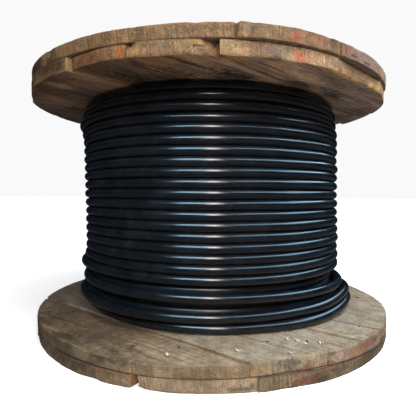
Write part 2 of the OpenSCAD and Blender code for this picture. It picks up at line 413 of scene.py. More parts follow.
# Paint, stains, knots and painted shade on the boards: kind, angle round the drum in degrees,
# distance from the axis, height, and half size along x, y and z
BOARD_STAINS_AND_SHADE = [
    # Lower flange
    # Broad painted shade on the left of the lower flange, the side away from the light
    ("painted side shade", -172.0, 0.450, 0.050, (0.200, 0.170, 0.090)),
    ("painted side shade", 165.0, 0.480, 0.040, (0.140, 0.140, 0.080)),
    ("grime", -166.0, RIM, 0.045, (0.120, 0.120, 0.030)),
    ("grime", -92.0, RIM, 0.045, (0.120, 0.060, 0.022)),
    ("grime", -108.0, RIM, 0.012, (0.100, 0.060, 0.018)),
    # Painted shade on the left of the lower rim; the other marks of this kind are dark olive patches of
    # the wood
    ("moss and painted shade", -171.0, RIM, 0.030, (0.110, 0.120, 0.040)),
    ("moss and painted shade", -157.0, RIM, 0.052, (0.080, 0.080, 0.014)),
    ("soot", -177.0, RIM, 0.052, (0.040, 0.050, 0.012)),
    ("soot", -170.0, RIM, 0.050, (0.020, 0.040, 0.007)),
    ("soot", -162.0, RIM, 0.051, (0.018, 0.036, 0.006)),
    ("slate", -150.0, RIM, 0.052, (0.020, 0.050, 0.005)),
    ("fresh", -152.3, 0.497, 0.015, (0.006, 0.010, 0.020)),
    ("soot", -128.0, RIM, 0.006, (0.030, 0.030, 0.008)),
    ("soot", -125.6, RIM, 0.010, (0.012, 0.012, 0.010)),
    ("fresh", -125.2, 0.5005, 0.045, (0.008, 0.007, 0.018)),
    ("honey", -122.0, RIM, 0.043, (0.018, 0.016, 0.011)),
    ("slate", -119.5, RIM, 0.050, (0.020, 0.020, 0.012)),
    ("soot", -116.5, RIM, 0.047, (0.024, 0.020, 0.014)),
    ("red", -113.0, RIM, 0.034, (0.030, 0.024, 0.005)),
    ("red", -111.5, RIM, 0.040, (0.012, 0.010, 0.010)),
    ("pink", -103.2, RIM, 0.046, (0.034, 0.024, 0.013)),
    ("orange", -96.0, RIM, 0.040, (0.040, 0.030, 0.012)),
    ("red", -91.0, RIM, 0.050, (0.034, 0.024, 0.007)),
    ("red", -106.5, RIM, 0.036, (0.020, 0.014, 0.006)),
    ("rust", -95.0, RIM, 0.044, (0.050, 0.030, 0.014)),
    ("rust", -82.0, RIM, 0.046, (0.060, 0.040, 0.014)),
    ("red", -104.5, RIM, 0.020, (0.016, 0.012, 0.006)),
    ("soot", -108.5, RIM, 0.008, (0.022, 0.014, 0.005)),
    ("soot", -118.5, RIM, 0.055, (0.016, 0.012, 0.005)),
    ("moss and painted shade", -64.0, RIM, 0.015, (0.070, 0.090, 0.020)),
    ("soot", -104.5, RIM, 0.055, (0.014, 0.010, 0.006)),
    ("soot", -87.0, RIM, 0.052, (0.018, 0.014, 0.006)),
    ("red", -79.0, RIM, 0.047, (0.030, 0.026, 0.009)),
    ("moss and painted shade", -68.0, RIM, 0.040, (0.050, 0.060, 0.012)),
    ("orange", -84.0, RIM, 0.042, (0.026, 0.020, 0.012)),
    ("red", -71.0, RIM, 0.048, (0.020, 0.026, 0.008)),
    ("red", -113.5, RIM, 0.011, (0.040, 0.030, 0.007)),
    ("red", -109.8, RIM, 0.017, (0.012, 0.012, 0.010)),
    ("olive", -102.5, RIM, 0.018, (0.034, 0.030, 0.012)),
    ("olive", -90.0, RIM, 0.014, (0.110, 0.060, 0.020)),
    ("olive", -76.0, RIM, 0.014, (0.080, 0.060, 0.020)),
    ("moss and painted shade", -82.0, RIM, 0.012, (0.110, 0.080, 0.016)),
    ("soot", -72.0, RIM, 0.016, (0.030, 0.060, 0.020)),
    ("orange", -141.5, 0.405, 0.060, (0.020, 0.012, 0.004)),
    # Upper flange, rim of the outer ply
    # Broad painted shade on the left of the upper rim, the side away from the light
    ("painted side shade", -178.0, RIM, 0.650, (0.090, 0.130, 0.050)),
    ("painted side shade", 165.0, RIM, 0.650, (0.090, 0.130, 0.050)),
    ("soot", -144.4, RIM, 0.679, (0.006, 0.005, 0.008)),
    ("slate", -142.6, RIM, 0.668, (0.018, 0.018, 0.012)),
    ("slate", -128.5, RIM, 0.675, (0.005, 0.004, 0.012)),
    ("slate", -125.8, RIM, 0.676, (0.014, 0.012, 0.008)),
    ("slate", -131.6, RIM, 0.671, (0.012, 0.012, 0.008)),
    ("paint", -116.6, RIM, 0.670, (0.026, 0.020, 0.013)),
    ("faded paint", -111.0, RIM, 0.670, (0.040, 0.034, 0.018)),
    ("knot", -115.3, RIM, 0.656, (0.008, 0.007, 0.006)),
    ("soot", -106.0, RIM, 0.682, (0.008, 0.006, 0.004)),
    ("mauve", -98.0, RIM, 0.672, (0.022, 0.060, 0.024)),
    ("mauve", -90.0, RIM, 0.672, (0.090, 0.090, 0.024)),
    ("red", -100.8, RIM, 0.672, (0.005, 0.020, 0.014)),
    ("soot", -96.6, RIM, 0.668, (0.030, 0.018, 0.0026)),
    ("soot", -91.0, RIM, 0.666, (0.026, 0.016, 0.0040)),
    # Upper flange, rim of the inner ply
    ("rust", -164.0, 0.49, 0.642, (0.070, 0.045, 0.030)),
    ("fresh", -154.7, 0.5005, 0.642, (0.010, 0.0075, 0.018)),
    ("slate", -144.8, RIM, 0.645, (0.022, 0.022, 0.011)),
    ("honey", -150.6, RIM, 0.636, (0.014, 0.014, 0.010)),
    ("honey", -137.2, RIM, 0.651, (0.018, 0.018, 0.008)),
    ("soot", -137.6, RIM, 0.644, (0.014, 0.014, 0.0025)),
    ("fresh", -134.6, RIM, 0.637, (0.007, 0.007, 0.010)),
    ("orange", -133.5, 0.485, 0.634, (0.016, 0.016, 0.012)),
    ("soot", -133.0, 0.490, 0.655, (0.010, 0.010, 0.009)),
    ("slate", -120.5, RIM, 0.641, (0.040, 0.034, 0.014)),
    ("soot", -121.6, RIM, 0.6295, (0.024, 0.020, 0.004)),
    ("paint", -115.4, RIM, 0.638, (0.020, 0.016, 0.011)),
    ("faded paint", -113.0, RIM, 0.638, (0.024, 0.020, 0.010)),
    ("slate", -103.5, RIM, 0.642, (0.026, 0.022, 0.012)),
    ("slate", -101.0, RIM, 0.638, (0.014, 0.010, 0.012)),
    ("honey", -98.0, RIM, 0.630, (0.085, 0.045, 0.006)),
    ("honey", -80.0, RIM, 0.634, (0.060, 0.045, 0.008)),
    # Upper flange, long side of the first inner board
    ("pale", -170.7, 0.480, 0.640, (0.045, 0.012, 0.040)),
]
# Marks on the underside of the upper flange, stains and painted shade by the winding: kind, angle round
# the drum, distance from the axis, and half size along x and y
UNDERSIDE_MARKS_AND_SHADE = [
    ("pale line", -168.4, 0.415, 0.095, 0.0042),
    ("seam", -120.9, 0.421, 0.115, 0.0060),
    ("rust", -122.0, 0.440, 0.090, 0.016),
    ("seam", -151.5, 0.430, 0.080, 0.0045),
    ("orange", -151.0, 0.475, 0.050, 0.012),
    ("orange", -146.5, 0.468, 0.045, 0.007),
    ("orange", -148.5, 0.488, 0.040, 0.010),
    ("honey", -145.0, 0.488, 0.035, 0.011),
    ("honey", -135.5, 0.488, 0.035, 0.010),
    ("honey", -130.5, 0.488, 0.035, 0.010),
    ("soot", -141.5, 0.472, 0.035, 0.006),
    ("orange", -141.0, 0.478, 0.040, 0.010),
    ("honey", -139.0, 0.482, 0.055, 0.012),
    ("pale", -137.6, 0.455, 0.040, 0.006),
    ("pale", -132.5, 0.465, 0.040, 0.006),
    ("honey", -118.0, 0.470, 0.060, 0.012),
    # Painted shade: near black on the underside where it closes in on the winding
    ("painted shade by the cable", -128.0, 0.392, 0.090, 0.045),
    ("painted shade by the cable", -145.0, 0.390, 0.080, 0.050),
    ("painted shade by the cable", -160.0, 0.400, 0.090, 0.050),
    ("rust", -176.0, 0.455, 0.060, 0.012),
    ("rust", 178.0, 0.440, 0.070, 0.008),
    ("pale line", -169.6, 0.470, 0.040, 0.0075),
    ("ochre", 176.0, 0.465, 0.060, 0.035),
    ("ochre", 158.0, 0.455, 0.060, 0.030),
    ("ochre", -124.0, 0.430, 0.100, 0.022),
    ("ochre", -107.0, 0.425, 0.110, 0.040),
    # Painted shade next to the winding
    ("painted shade by the cable", -104.0, 0.384, 0.080, 0.030),
    ("painted shade by the cable", -82.0, 0.388, 0.070, 0.030),
    ("rust", -56.0, 0.472, 0.050, 0.030),
    ("rust", 165.0, 0.460, 0.050, 0.016),
    ("orange", -145.4, 0.455, 0.060, 0.006),
    ("soot", -150.5, 0.462, 0.070, 0.006),
    ("soot", -139.5, 0.458, 0.070, 0.007),
    ("orange", -129.0, 0.485, 0.020, 0.010),
    ("orange", -124.5, 0.440, 0.012, 0.005),
]
BOARD_STAINS_AND_SHADE += [
    (kind, angle, away, FLANGE_UNDERSIDE, (along, across, 8 * MM))
    for kind, angle, away, along, across in UNDERSIDE_MARKS_AND_SHADE
]
# Colour, strength, raggedness and softness of each kind of stain and of painted shade
STAIN_AND_SHADE_LOOKS = {
    "paint": ((0.46, 0.090, 0.070, 1), 0.66, 3.4, 0.75),
    "faded paint": ((0.38, 0.160, 0.110, 1), 0.45, 3.0, 0.50),
    "red": ((0.235, 0.054, 0.034, 1), 0.78, 3.4, 0.40),
    "olive": ((0.105, 0.098, 0.054, 1), 0.78, 2.2, 0.60),
    # Dark olive: the wood's own colour on most marks, painted shade on the left of the lower rim
    "moss and painted shade": ((0.064, 0.058, 0.038, 1), 0.74, 2.0, 0.90),
    "pink": ((0.42, 0.215, 0.180, 1), 0.60, 2.6, 0.50),
    "mauve": ((0.25, 0.155, 0.148, 1), 0.85, 1.2, 0.60),
    "slate": ((0.110, 0.125, 0.125, 1), 0.42, 3.4, 0.60),
    "soot": ((0.040, 0.034, 0.030, 1), 0.68, 2.8, 0.40),
    "knot": ((0.085, 0.035, 0.016, 1), 0.85, 1.5, 0.40),
    "rust": ((0.190, 0.075, 0.038, 1), 0.58, 2.4, 0.80),
    "orange": ((0.42, 0.170, 0.050, 1), 0.76, 3.0, 0.50),
    "fresh": ((0.42, 0.170, 0.050, 1), 0.90, 0.5, 0.15),
    "honey": ((0.46, 0.265, 0.090, 1), 0.60, 3.0, 0.50),
    "ochre": ((0.60, 0.39, 0.235, 1), 0.66, 2.4, 0.90),
    "pale": ((0.46, 0.36, 0.22, 1), 0.45, 3.0, 0.50),
    "pale line": ((0.50, 0.36, 0.20, 1), 0.85, 0.8, 0.40),
    "seam": ((0.055, 0.018, 0.010, 1), 0.90, 0.8, 0.50),
    # Painted shade: near black where the underside closes in on the winding
    "painted shade by the cable": ((0.024, 0.022, 0.024, 1), 0.80, 3.0, 0.85),
    "grime": ((0.150, 0.108, 0.066, 1), 0.70, 2.2, 0.90),
    # Painted shade: dark brown laid over the side away from the light
    "painted side shade": ((0.095, 0.056, 0.034, 1), 0.84, 1.0, 0.95),
}


def lay_stains_and_shade(tree, colour, place):
    """Lays the paint, stains, knots and painted shade over a colour."""
    rag = calc(tree, "SUBTRACT", cloud(tree, place, 70.0, 4.0, 0.7), 0.5)
    for kind, angle, away, height, reach in BOARD_STAINS_AND_SHADE:
        mark_colour, strength, ragged, soft = STAIN_AND_SHADE_LOOKS[kind]
        if away == RIM:
            away += stand_out(ply_at(height), angle)
        mask = use(tree, PATCH, Place=place, Rag=rag, Centre=polar(angle, away, height),
                   Reach=reach, Ragged=ragged, Soft=soft)["Mask"]
        colour = tint(tree, calc(tree, "MULTIPLY", mask, strength), colour, mark_colour)
    return colour


def face_colour(tree, grain_place, grain, weather, dark):
    """The sawn faces: grey-beige where washed, brown where dirty."""
    face = tint(tree, grain["Rings"], (0.36, 0.285, 0.19, 1), (0.225, 0.155, 0.092, 1))
    face = tint(tree, calc(tree, "MULTIPLY", weather["Grey"], 0.55), face, (0.34, 0.30, 0.235, 1))
    face = tint(tree, step(tree, grain["Figure"], 0.35, 0.75, 0.0, 0.5), face, (0.15, 0.095, 0.055, 1))
    face = dim(tree, face, step(tree, grain["Fibres"], 0.3, 0.75, 0.72, 1.15))
    # Undersides and inner faces hold more dirt
    streak = step(tree, grain["Figure"], 0.30, 0.72)
    under = tint(tree, streak, (0.126, 0.096, 0.092, 1), (0.52, 0.355, 0.262, 1))
    under = tint(tree, weather["Dirt"], under, (0.144, 0.118, 0.116, 1))
    under = tint(tree, step(tree, grain["Fibres"], 0.35, 0.75, 0.0, 0.45), under, (0.37, 0.27, 0.20, 1))
    torn = cloud(tree, stretch(tree, grain_place, (7, 85, 85)), 1.0, 5.0, 0.7, 0.3)
    under = tint(tree, step(tree, torn, 0.50, 0.66, 0.0, 0.75), under, (0.058, 0.048, 0.048, 1))
    under = tint(tree, step(tree, torn, 0.30, 0.46, 0.55, 0.0), under, (0.51, 0.355, 0.26, 1))
    return tint(tree, dark, face, under)


def rim_colour(tree, place, grain, saw, weather):
    """The sawn ends round the rim: light wood with upright strokes."""
    end = tint(tree, step(tree, saw["Marks"], 0.30, 0.64), (0.185, 0.112, 0.062, 1),
               (0.44, 0.312, 0.185, 1))
    end = tint(tree, step(tree, saw["Strokes"], 0.3, 0.75, 0.0, 0.55), end, (0.33, 0.235, 0.145, 1))
    end = dim(tree, end, step(tree, cloud(tree, place, 520.0, 2.0, 0.6), 0.35, 0.65, 0.72, 1.18))
    end = tint(tree, calc(tree, "MULTIPLY", grain["Rings"], 0.35), end, (0.20, 0.115, 0.06, 1))
    return tint(tree, calc(tree, "MULTIPLY", weather["Dirt"], 0.6), end, (0.15, 0.10, 0.065, 1))


def mottled(tree, colour, place, grain_place, dark, rim):
    """Lays blotches over a colour, drawn out along the grain on the dirty faces."""
    blotch = cloud(tree, place, 42.0, 5.0, 0.7)
    drawn = cloud(tree, stretch(tree, grain_place, (6, 34, 34)), 1.0, 6.0, 0.72)
    share = calc(tree, "MULTIPLY", dark, calc(tree, "SUBTRACT", 1.0, rim))
    change = calc(tree, "MULTIPLY", calc(tree, "SUBTRACT", drawn, blotch), share)
    mottle = step(tree, calc(tree, "ADD", blotch, change), 0.30, 0.72, 0.62, 1.22)
    fine = step(tree, cloud(tree, place, 150.0, 3.0, 0.6), 0.3, 0.7, 0.82, 1.12)
    return dim(tree, colour, calc(tree, "MULTIPLY", mottle, fine))


def worn(tree, colour, edge, rim, height, weather):
    """Worn edges, splashed dirt on the low rim, painted shade along the joints between plies, and specks.
    """
    knock = calc(tree, "MULTIPLY", edge, step(tree, weather["Grey"], 0.3, 0.9, 0.10, 0.55))
    colour = tint(tree, knock, colour, (0.42, 0.31, 0.18, 1))
    grubby = calc(tree, "MULTIPLY", edge, step(tree, weather["Dirt"], 0.15, 0.75, 0.10, 0.8))
    colour = tint(tree, grubby, colour, (0.075, 0.040, 0.024, 1))
    splash = calc(tree, "MULTIPLY", rim, step(tree, height, 0.05, 0.10, 0.30, 0.0))
    colour = tint(tree, splash, colour, (0.10, 0.080, 0.055, 1))
    # Painted shade: a dark red-brown line on the rim along each joint, standing in for the gap's shadow
    for joint in (LOWER_JOINT, UPPER_JOINT):
        near = calc(tree, "ABSOLUTE", calc(tree, "SUBTRACT", height, joint))
        near = calc(tree, "MULTIPLY", step(tree, near, 0.0005, 0.0040, 0.75, 0.0), rim)
        colour = tint(tree, near, colour, (0.075, 0.026, 0.016, 1))
    return tint(tree, calc(tree, "MULTIPLY", weather["Specks"], 0.6), colour, (0.05, 0.035, 0.025, 1))


def toned(tree, colour, tone):
    """Gives each board its own brightness and warmth."""
    shade = put(tree, "ShaderNodeCombineColor", {
        "Red": tone["Red"], "Green": calc(tree, "MULTIPLY", tone["Red"], tone["Green"]),
        "Blue": calc(tree, "MULTIPLY", tone["Red"], calc(tree, "POWER", tone["Green"], 2.0)),
    }).outputs["Color"]
    return tint(tree, 1.0, colour, shade, "MULTIPLY")


def board_relief(tree, place, grain, saw, rim):
    """Height of the surface: saw strokes on the rim, fibres and rings on the faces."""
    relief = calc(tree, "SUBTRACT", grain["Fibres"], calc(tree, "MULTIPLY", grain["Rings"], 0.6))
    strokes = calc(tree, "ADD", saw["Marks"], saw["Strokes"])
    raised = calc(tree, "ADD", calc(tree, "MULTIPLY", strokes, rim),
                  calc(tree, "MULTIPLY", relief, calc(tree, "SUBTRACT", 1.0, rim)))
    rough = calc(tree, "MULTIPLY", cloud(tree, place, 110.0, 4.0, 0.65), 1.6)
    return calc(tree, "ADD", raised, rough)


def board_material():
    """Rough sawn softwood: grey and brown faces, sawn end grain round the rim."""
    made, tree, shader, place = new_material("weathered boards")
    grain_place = attribute(tree, "grain", "Vector")
    rim = attribute(tree, "rim")
    edge = attribute(tree, "edge")
    bare = attribute(tree, "bare")
    tone = put(tree, "ShaderNodeSeparateColor", {"Color": attribute(tree, "tone", "Color")}).outputs
    dark = tone["Blue"]
    height = parts(tree, place)["Z"]
    grain = use(tree, GRAIN, Place=grain_place, Ring_Width=0.0055, Waviness=0.016)
    saw = use(tree, SAW_MARKS, Place=place, Spacing=0.0032)
    weather = use(tree, WEATHER, Place=place, Spread=7.0)
    face = face_colour(tree, grain_place, grain, weather, dark)
    colour = tint(tree, rim, face, rim_colour(tree, place, grain, saw, weather))
    # Sides that an open joint shows are rusty orange
    raw = tint(tree, step(tree, height, 0.3, 0.4), (0.30, 0.190, 0.095, 1), (0.34, 0.150, 0.055, 1))
    colour = tint(tree, calc(tree, "MULTIPLY", bare, 0.85), colour, raw)
    colour = lay_stains_and_shade(tree, colour, place)
    colour = mottled(tree, colour, place, grain_place, dark, rim)
    colour = worn(tree, colour, edge, rim, height, weather)
    tree.links.new(toned(tree, colour, tone), shader.inputs["Base Color"])
    tree.links.new(step(tree, weather["Dirt"], 0.0, 1.0, 0.72, 0.92), shader.inputs["Roughness"])
    shader.inputs["Specular IOR Level"].default_value = 0.25
    raised = board_relief(tree, place, grain, saw, rim)
    tree.links.new(bump(tree, raised, 0.7, 0.0018), shader.inputs["Normal"])
    return made


def stave_material():
    """Cleaner rough sawn wood, out of the weather inside the barrel."""
    made, tree, shader, place = new_material("barrel staves")
    upright = put(tree, "ShaderNodeMapping", {"Vector": place, "Rotation": (0, math.pi / 2, 0)})
    grain = use(tree, GRAIN, Place=upright.outputs["Vector"], Ring_Width=0.006, Waviness=0.02)
    weather = use(tree, WEATHER, Place=place, Spread=5.0)
    colour = tint(tree, grain["Rings"], (0.42, 0.28, 0.15, 1), (0.28, 0.165, 0.08, 1))
    colour = tint(tree, calc(tree, "MULTIPLY", weather["Dirt"], 0.5), colour, (0.12, 0.075, 0.045, 1))
    tree.links.new(colour, shader.inputs["Base Color"])
    shader.inputs["Roughness"].default_value = 0.8
    tree.links.new(bump(tree, grain["Fibres"], 0.4, 0.001), shader.inputs["Normal"])
    return made


def rod_material():
    """Dull zinc with rust."""
    made, tree, shader, place = new_material("rod steel")
    weather = use(tree, WEATHER, Place=place, Spread=34.0)
    rust = step(tree, cloud(tree, place, 90.0, 5.0, 0.7), 0.42, 0.62)
    colour = tint(tree, rust, (0.34, 0.33, 0.31, 1), (0.20, 0.070, 0.025, 1))
    colour = tint(tree, calc(tree, "MULTIPLY", weather["Dirt"], 0.5), colour, (0.09, 0.055, 0.035, 1))
    tree.links.new(colour, shader.inputs["Base Color"])
    tree.links.new(step(tree, rust, 0.0, 1.0, 0.8, 0.1), shader.inputs["Metallic"])
    tree.links.new(step(tree, rust, 0.0, 1.0, 0.42, 0.85), shader.inputs["Roughness"])
    tree.links.new(bump(tree, cloud(tree, place, 600.0, 3.0), 0.35, 0.0004), shader.inputs["Normal"])
    return made


def cable_material(name, dusty):
    """Glossy black sheath, with faint drag marks along it and a little dust."""
    made, tree, shader, place = new_material(name)
    along = attribute(tree, "sheath", "Vector")
    drag = cloud(tree, stretch(tree, along, (5, 260, 260)), 1.0, 3.0, 0.6)
    blotch = cloud(tree, place, 14.0, 4.0, 0.6)
    colour = tint(tree, step(tree, blotch, 0.35, 0.75), (0.0040, 0.0047, 0.0064, 1),
                  (0.0078, 0.0085, 0.0104, 1))
    dust = step(tree, cloud(tree, place, 38.0, 6.0, 0.7), 0.50, 0.72)
    dust = calc(tree, "MULTIPLY", dust, 0.05 + 0.3 * dusty)
    colour = tint(tree, dust, colour, (0.13, 0.12, 0.11, 1))
    tree.links.new(colour, shader.inputs["Base Color"])
    gloss = calc(tree, "ADD", step(tree, drag, 0.3, 0.75, 0.19 + dusty, 0.22 + dusty),
                 step(tree, blotch, 0.3, 0.8, 0.0, 0.06))
    tree.links.new(gloss, shader.inputs["Roughness"])
    swell = cloud(tree, stretch(tree, along, (16, 60, 60)), 1.0, 2.0, 0.5)
    normal = bump(tree, swell, 0.12, 0.0010)
    tree.links.new(bump(tree, drag, 0.02, 0.0002, normal), shader.inputs["Normal"])
    return made


def flecked_material(name, scale, dark, light, rough):
    """A material flecked between two colours. Rough is the step from smooth to rough flecks."""
    made, tree, shader, place = new_material(name)
    fleck = cloud(tree, place, scale, 3.0, 0.6)
    tree.links.new(tint(tree, fleck, dark, light), shader.inputs["Base Color"])
    tree.links.new(step(tree, fleck, *rough), shader.inputs["Roughness"])
    return made, tree, shader, fleck


def nail_material():
    """Rusty steel."""
    made, tree, shader, fleck = flecked_material(
        "rusty nails", 300.0, (0.030, 0.020, 0.016, 1), (0.16, 0.060, 0.025, 1), (0.2, 0.8, 0.5, 0.85))
    shader.inputs["Metallic"].default_value = 0.4
    return made


def chip_material():
    """Fresh pale wood."""
    made, tree, shader, fleck = flecked_material(
        "pale splinters", 400.0, (0.42, 0.33, 0.21, 1), (0.68, 0.60, 0.46, 1), (0.2, 0.8, 0.7, 0.9))
    return made


def cap_material():
    """The matt rubbery cap on the cable's end."""
    made, tree, shader, fleck = flecked_material(
        "end cap", 260.0, (0.012, 0.012, 0.013, 1), (0.028, 0.027, 0.026, 1), (0.3, 0.7, 0.45, 0.62))
    tree.links.new(bump(tree, fleck, 0.2, 0.0004), shader.inputs["Normal"])
    return made


BOARD = board_material()
STAVE = stave_material()
ROD = rod_material()
CABLE = cable_material("cable sheath", 0.0)
CABLE_BELOW = cable_material("dusty cable sheath", 0.08)
CAP = cap_material()
NAIL = nail_material()
CHIP = chip_material()


# ---------------------------------------------------------------------------------------------
# Flange boards
# ---------------------------------------------------------------------------------------------

def strip_of(node, across):
    """Where a board lies: its two long edges, its rim radius and its two faces."""
    turn = Matrix.Rotation(-math.radians(across), 3, "Z")
    points = [turn @ v.co for v in NODES[node].data.vertices]
    reach = max(math.hypot(p.x, p.y) for p in points)
    low, high = min(p.x for p in points), max(p.x for p in points)
    return {
        "low": low,
        "high": high,
        "reach": reach,
        "floor": min(p.z for p in points),
        "top": max(p.z for p in points),
    }


def crowd(share, amount):
    """Moves evenly spaced stations from -1 to 1 towards the two ends."""
    return share * (1 - amount) + amount * math.sin(share * math.pi / 2)


# Knocks on the arrises: ply, angle round the drum, 1 for the upper arris or -1 for the lower,
# half width along the rim and depth
KNOCKS = [
    ("upper_outer", -178.6, 1, 0.012, 0.006),
    ("upper_outer", -169.5, 1, 0.008, 0.004),
    ("upper_outer", -163.0, 1, 0.006, 0.004),
    ("upper_outer", -157.5, 1, 0.005, 0.004),
    ("upper_outer", -143.5, 1, 0.005, 0.005),
    ("upper_outer", -138.0, 1, 0.014, 0.004),
    ("upper_outer", -152.0, 1, 0.006, 0.005),
    ("upper_outer", -126.3, 1, 0.009, 0.008),
    ("upper_outer", -107.0, 1, 0.010, 0.005),
    ("upper_outer", -96.0, 1, 0.012, 0.006),
    ("upper_inner", -147.0, -1, 0.020, 0.008),
    ("upper_inner", -141.0, -1, 0.016, 0.010),
    ("upper_inner", -136.0, -1, 0.008, 0.010),
    ("upper_inner", -120.0, -1, 0.014, 0.007),
    ("upper_inner", -113.5, -1, 0.010, 0.006),
    ("upper_inner", -97.0, -1, 0.050, 0.010),
    ("upper_inner", -84.0, -1, 0.060, 0.012),
    ("lower_inner", -110.0, 1, 0.012, 0.005),
    ("lower_inner", -99.0, 1, 0.010, 0.008),
    ("lower_inner", -86.0, 1, 0.014, 0.005),
    ("lower_outer", -163.0, -1, 0.014, 0.008),
    ("lower_outer", -150.5, -1, 0.012, 0.012),
    ("lower_outer", -118.0, -1, 0.012, 0.007),
]
# Corners between the rim and a long side that are broken away: board, 1 for its high side, angle
# round the drum, depth at the board's lower face and depth at its upper face
BROKEN_CORNERS = [
    ("upper_inner_board_2", 1, -154.0, 0.003, 0.020),
    ("upper_inner_board_2", -1, -133.5, 0.012, 0.022),
    ("upper_outer_board_1", 1, -129.0, 0.006, 0.006),
    ("upper_inner_board_6", 1, 100.0, 0.012, 0.012),
    ("lower_inner_board_5", -1, 70.0, 0.014, 0.014),
]
ARRIS = 0.9 * MM


def arris_radius(point, away, ply, angle, top_side):
    """How round a board's edge is worn at a point: a fine arris with rough stretches."""
    rough = noise.noise(point * 16 + away)
    ragged = noise.noise(point * 70 + away)
    worn = ARRIS + 2.6 * MM * max(rough + 0.15, 0) + 2.2 * MM * max(ragged - 0.05, 0)
    for where, at, side, half_width, depth in KNOCKS:
        if where == ply and side == top_side:
            off = math.radians(arc_gap(angle, at)) * RIM / half_width
            if abs(off) < 2.5:
                worn += depth * math.exp(-off * off) * (0.8 + 0.5 * ragged)
    return worn


def board_blank(rows, columns):
    """A flat square block, finely divided across, along and through its thickness."""
    bm = bmesh.new()
    bmesh.ops.create_grid(bm, x_segments=rows, y_segments=columns, size=1)
    bmesh.ops.solidify(bm, geom=bm.faces[:], thickness=1)
    upright = [e for e in bm.edges if abs(e.verts[0].co.z - e.verts[1].co.z) > 0.5]
    bmesh.ops.subdivide_edges(bm, edges=upright, cuts=6, use_grid_fill=True)
    return bm


def board_bmesh(node, strip, ply, across, seed):
    """One board: a fine grid laid over the strip, given its thickness, and worn at its edges."""
    low, high, reach = strip["low"], strip["high"], strip["reach"]
    limit = 0.9985 * reach
    first = math.asin(max(low, -limit) / reach)
    last = math.asin(min(high, limit) / reach)
    thick = strip["top"] - strip["floor"]
    rows = max(22, round((last - first) * reach / (6 * MM)))
    longest = reach if low < 0 < high else math.sqrt(reach ** 2 - min(abs(low), abs(high)) ** 2)
    columns = round(2 * longest / (9 * MM))
    bm = board_blank(rows, columns)
    base = min(v.co.z for v in bm.verts)
    away = Vector((1.37, 0.71, 2.13)) * seed
    turn = Matrix.Rotation(math.radians(across), 3, "Z")
    for v in bm.verts:
        side = math.sin(first + (last - first) * (crowd(v.co.x, 0.75) + 1) / 2) * reach
        side = min(max(side, low), high)
        half = math.sqrt(max(reach ** 2 - side ** 2, 0))
        along = crowd(v.co.y, 0.8) * half
        level = (crowd(2 * (v.co.z - base) - 1, 0.6) + 1) / 2 * thick
        flat = turn @ Vector((side, along, 0))
        angle = math.degrees(math.atan2(flat.y, flat.x))
        place = Vector((flat.x, flat.y, strip["floor"] + level))
        inward = -flat.normalized() if flat.length > 1e-6 else Vector()
        toward = turn @ Vector((1 if side < (low + high) / 2 else -1, 0, 0))
        vertical = Vector((0, 0, 1 if level < thick / 2 else -1))
        # Distance from the rim, from the nearer long side and from the nearer face
        gaps = [reach - flat.length, min(side - low, high - side), min(level, thick - level)]
        round_by = arris_radius(place, away, ply, angle, 1 if level > thick / 2 else -1)
        if gaps[0] > 0.03:
            # Long sides stay crisp where their neighbours shelter them
            round_by = min(round_by * 0.5, 1.5 * MM)
        into = [max(round_by - g, 0) for g in gaps]
        depth = math.sqrt(sum(i * i for i in into))
        if depth > round_by and sum(i > 0 for i in into) > 1:
            pull = 1 - round_by / depth
            place += inward * into[0] * pull + toward * into[1] * pull + vertical * into[2] * pull
        place -= inward * stand_out(ply, angle) * smooth(0.40, 0.49, flat.length)
        for broken, which, at, below, above in BROKEN_CORNERS:
            if broken == node and (side > (low + high) / 2) == (which > 0):
                depth = below + (above - below) * smooth(0.45, 0.85, level / thick)
                off = (abs(gaps[0]) + gaps[1]) / depth
                if off < 1 and abs(arc_gap(angle, at)) < 20:
                    rag = 1 + 0.5 * noise.noise(place * 90 + away)
                    place += (inward + toward * 0.3) * depth * (1 - off) * rag * 0.8
        # The surfaces are never quite flat
        if gaps[0] < 2 * MM:
            dip = 0.9 * noise.noise(place * 9 + away) + 0.5 * noise.noise(place * 38 + away)
            place += inward * MM * (1.3 + 1.4 * dip)
        if gaps[2] < 0.5 * MM:
            dip = noise.noise(place * 5 + away)
            place += vertical * MM * (0.45 + 0.45 * dip)
        v.co = place
    face_outwards(bm)
    return bm


BORE_R = 41 * MM
RECESS_R = 28 * MM
RECESS_DEEP = 0.1


def hole_cutter(ply):
    """The spindle hole, and in an outer ply the recesses for the washers and nuts."""
    bm = bmesh.new()
    upper = ply.startswith("upper")
    joint = UPPER_JOINT if upper else LOWER_JOINT
    bmesh.ops.create_cone(bm, cap_ends=True, segments=72, radius1=BORE_R, radius2=BORE_R,
                          depth=0.2, matrix=Matrix.Translation((0, 0, joint)))
    if ply.endswith("outer"):
        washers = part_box("rod_washers_upper" if upper else "rod_washers_lower")
        floor = washers[0].z if upper else washers[1].z
        centre = floor + (RECESS_DEEP if upper else -RECESS_DEEP) / 2
        for k in range(RODS):
            low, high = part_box(f"tie_rod_{k + 1}")
            at = Matrix.Translation(((low.x + high.x) / 2, (low.y + high.y) / 2, centre))
            bmesh.ops.create_cone(bm, cap_ends=True, segments=48, radius1=RECESS_R,
                                  radius2=RECESS_R, depth=RECESS_DEEP, matrix=at)
    return add_object("cutter_" + ply, mesh_of("cutter_" + ply, bm))


def cut_holes(mesh, cutter):
    """Returns a copy of a mesh with a cutter's shape taken out of it."""
    holder = add_object("holder", mesh)
    boolean = holder.modifiers.new("holes", "BOOLEAN")
    boolean.operation = "DIFFERENCE"
    boolean.solver = "EXACT"
    boolean.object = cutter
    return mesh_from(holder)


